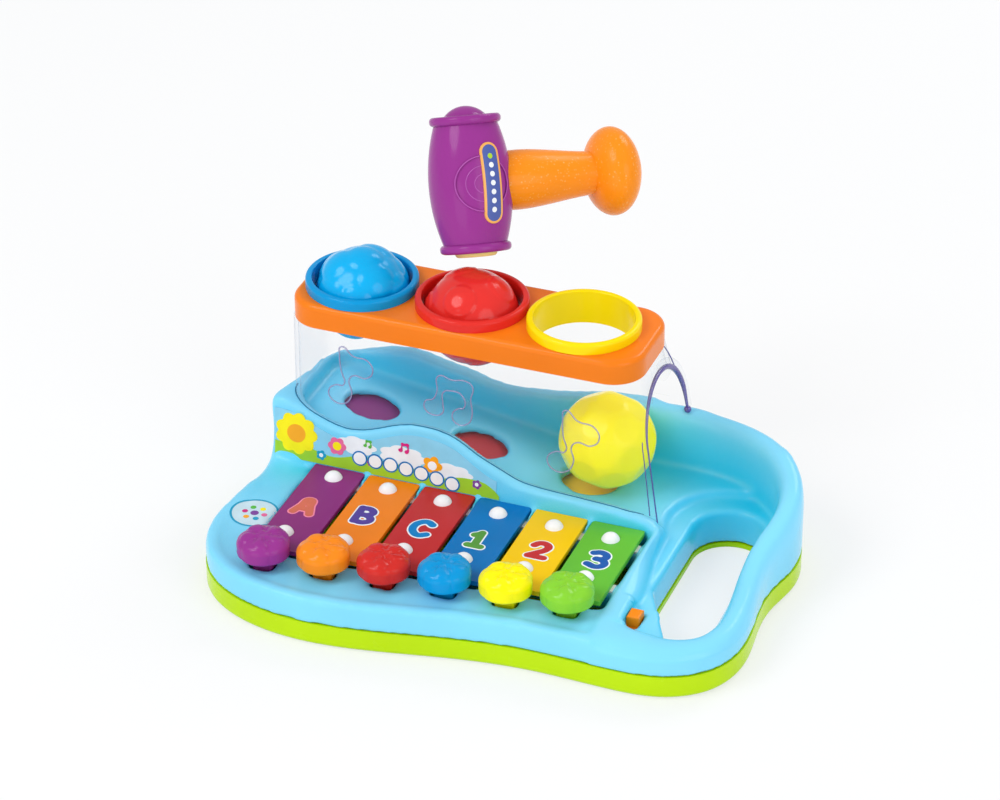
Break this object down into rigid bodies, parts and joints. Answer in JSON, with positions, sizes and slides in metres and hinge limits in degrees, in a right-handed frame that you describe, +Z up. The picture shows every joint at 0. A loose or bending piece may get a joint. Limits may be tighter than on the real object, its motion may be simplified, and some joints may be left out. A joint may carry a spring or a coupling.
{
  "type": "xylophone hammer toy",
  "caption": "Children's toy with a ball-pounding deck over a clear ramp housing, a row of coloured xylophone bars with push keys, a carrying slot and a short hammer.",
  "frame": {"origin": "centre of the base's plan on the surface that the toy stands on", "axes": "+X to the right along the deck, +Y to the back, +Z up"},
  "size_m": [0.2789, 0.2429, 0.2046],
  "materials": {
    "green_plastic": "glossy",
    "blue_plastic": "glossy",
    "clear_plastic": "clear",
    "orange_plastic": "glossy",
    "blue_ring_plastic": "glossy",
    "blue_ball_plastic": "glossy",
    "red_ring_plastic": "glossy",
    "red_ball_plastic": "glossy",
    "yellow_ring_plastic": "glossy",
    "yellow_ball_plastic": "glossy",
    "chime_paint_1": "glossy",
    "chime_paint_2": "glossy",
    "chime_paint_3": "glossy",
    "bare_steel": "satin",
    "bar_paint_a": "satin",
    "key_plastic_a": "glossy",
    "bar_paint_b": "satin",
    "key_plastic_b": "glossy",
    "bar_paint_c": "satin",
    "key_plastic_c": "glossy",
    "bar_paint_1": "satin",
    "key_plastic_1": "glossy",
    "bar_paint_2": "satin",
    "key_plastic_2": "glossy",
    "bar_paint_3": "satin",
    "key_plastic_3": "glossy",
    "white_foam": "soft",
    "white_plastic": "glossy",
    "printed_label": "printed",
    "purple_plastic": "glossy",
    "cream_rubber": "soft"
  },
  "bodies": {
    "base": {"base_bottom_shell": "green_plastic", "base_top_shell": "blue_plastic", "clear_housing": "clear_plastic", "deck": "orange_plastic", "collar_blue": "blue_ring_plastic", "collar_red": "red_ring_plastic", "collar_yellow": "yellow_ring_plastic", "chime_plate_1": "chime_paint_1", "chime_plate_2": "chime_paint_2", "chime_plate_3": "chime_paint_3", "chime_screws": "bare_steel", "case_screws": "bare_steel", "key_axle": "bare_steel", "bar_pads": "white_foam", "bar_pins": "white_plastic", "panel_label": "printed_label", "round_label": "printed_label", "bar_a": "bar_paint_a", "bar_b": "bar_paint_b", "bar_c": "bar_paint_c", "bar_1": "bar_paint_1", "bar_2": "bar_paint_2", "bar_3": "bar_paint_3", "key_spring_a": "bare_steel", "key_spring_b": "bare_steel", "key_spring_c": "bare_steel", "key_spring_1": "bare_steel", "key_spring_2": "bare_steel", "key_spring_3": "bare_steel"},
    "key_a": {"key_a": "key_plastic_a"},
    "key_b": {"key_b": "key_plastic_b"},
    "key_c": {"key_c": "key_plastic_c"},
    "key_1": {"key_1": "key_plastic_1"},
    "key_2": {"key_2": "key_plastic_2"},
    "key_3": {"key_3": "key_plastic_3"},
    "ball_blue": {"ball_blue": "blue_ball_plastic"},
    "ball_red": {"ball_red": "red_ball_plastic"},
    "ball_yellow": {"ball_yellow": "yellow_ball_plastic"},
    "slide_catch": {"slide_catch": "orange_plastic"},
    "hammer": {"hammer_head": "purple_plastic", "hammer_cap": "purple_plastic", "hammer_pad": "cream_rubber", "hammer_handle": "orange_plastic", "hammer_plate": "printed_label"}
  },
  "joints": [
    {"name": "key_a_hinge", "type": "hinge", "parent": "base", "child": "key_a", "pos_m": [0, -0.04, 0.0085], "axis": [1, 0, 0], "range_deg": [0, 5], "stiffness_Nm_per_rad": 0.05, "springref_deg": -17.19, "deforming": ["key_spring_a"]},
    {"name": "key_b_hinge", "type": "hinge", "parent": "base", "child": "key_b", "pos_m": [0, -0.04, 0.0085], "axis": [1, 0, 0], "range_deg": [0, 5], "stiffness_Nm_per_rad": 0.05, "springref_deg": -17.19, "deforming": ["key_spring_b"]},
    {"name": "key_c_hinge", "type": "hinge", "parent": "base", "child": "key_c", "pos_m": [0, -0.04, 0.0085], "axis": [1, 0, 0], "range_deg": [0, 5], "stiffness_Nm_per_rad": 0.05, "springref_deg": -17.19, "deforming": ["key_spring_c"]},
    {"name": "key_1_hinge", "type": "hinge", "parent": "base", "child": "key_1", "pos_m": [0, -0.04, 0.0085], "axis": [1, 0, 0], "range_deg": [0, 5], "stiffness_Nm_per_rad": 0.05, "springref_deg": -17.19, "deforming": ["key_spring_1"]},
    {"name": "key_2_hinge", "type": "hinge", "parent": "base", "child": "key_2", "pos_m": [0, -0.04, 0.0085], "axis": [1, 0, 0], "range_deg": [0, 5], "stiffness_Nm_per_rad": 0.05, "springref_deg": -17.19, "deforming": ["key_spring_2"]},
    {"name": "key_3_hinge", "type": "hinge", "parent": "base", "child": "key_3", "pos_m": [0, -0.04, 0.0085], "axis": [1, 0, 0], "range_deg": [0, 5], "stiffness_Nm_per_rad": 0.05, "springref_deg": -17.19, "deforming": ["key_spring_3"]},
    {"name": "ball_blue_drop", "type": "slide", "parent": "base", "child": "ball_blue", "axis": [0, 0, 1], "range_m": [-0.041, 0]},
    {"name": "ball_red_drop", "type": "slide", "parent": "base", "child": "ball_red", "axis": [0, 0, 1], "range_m": [-0.049, 0]},
    {"name": "ball_yellow_roll", "type": "slide", "parent": "base", "child": "ball_yellow", "axis": [1, 0, 0], "range_m": [0, 0.046]},
    {"name": "slide_catch_slide", "type": "slide", "parent": "base", "child": "slide_catch", "axis": [0, -1, 0], "range_m": [0, 0.004]},
    {"name": "hammer_lift", "type": "slide", "parent": "base", "child": "hammer", "axis": [0, 0, 1], "range_m": [-0.005, 0.1]}
  ]
}
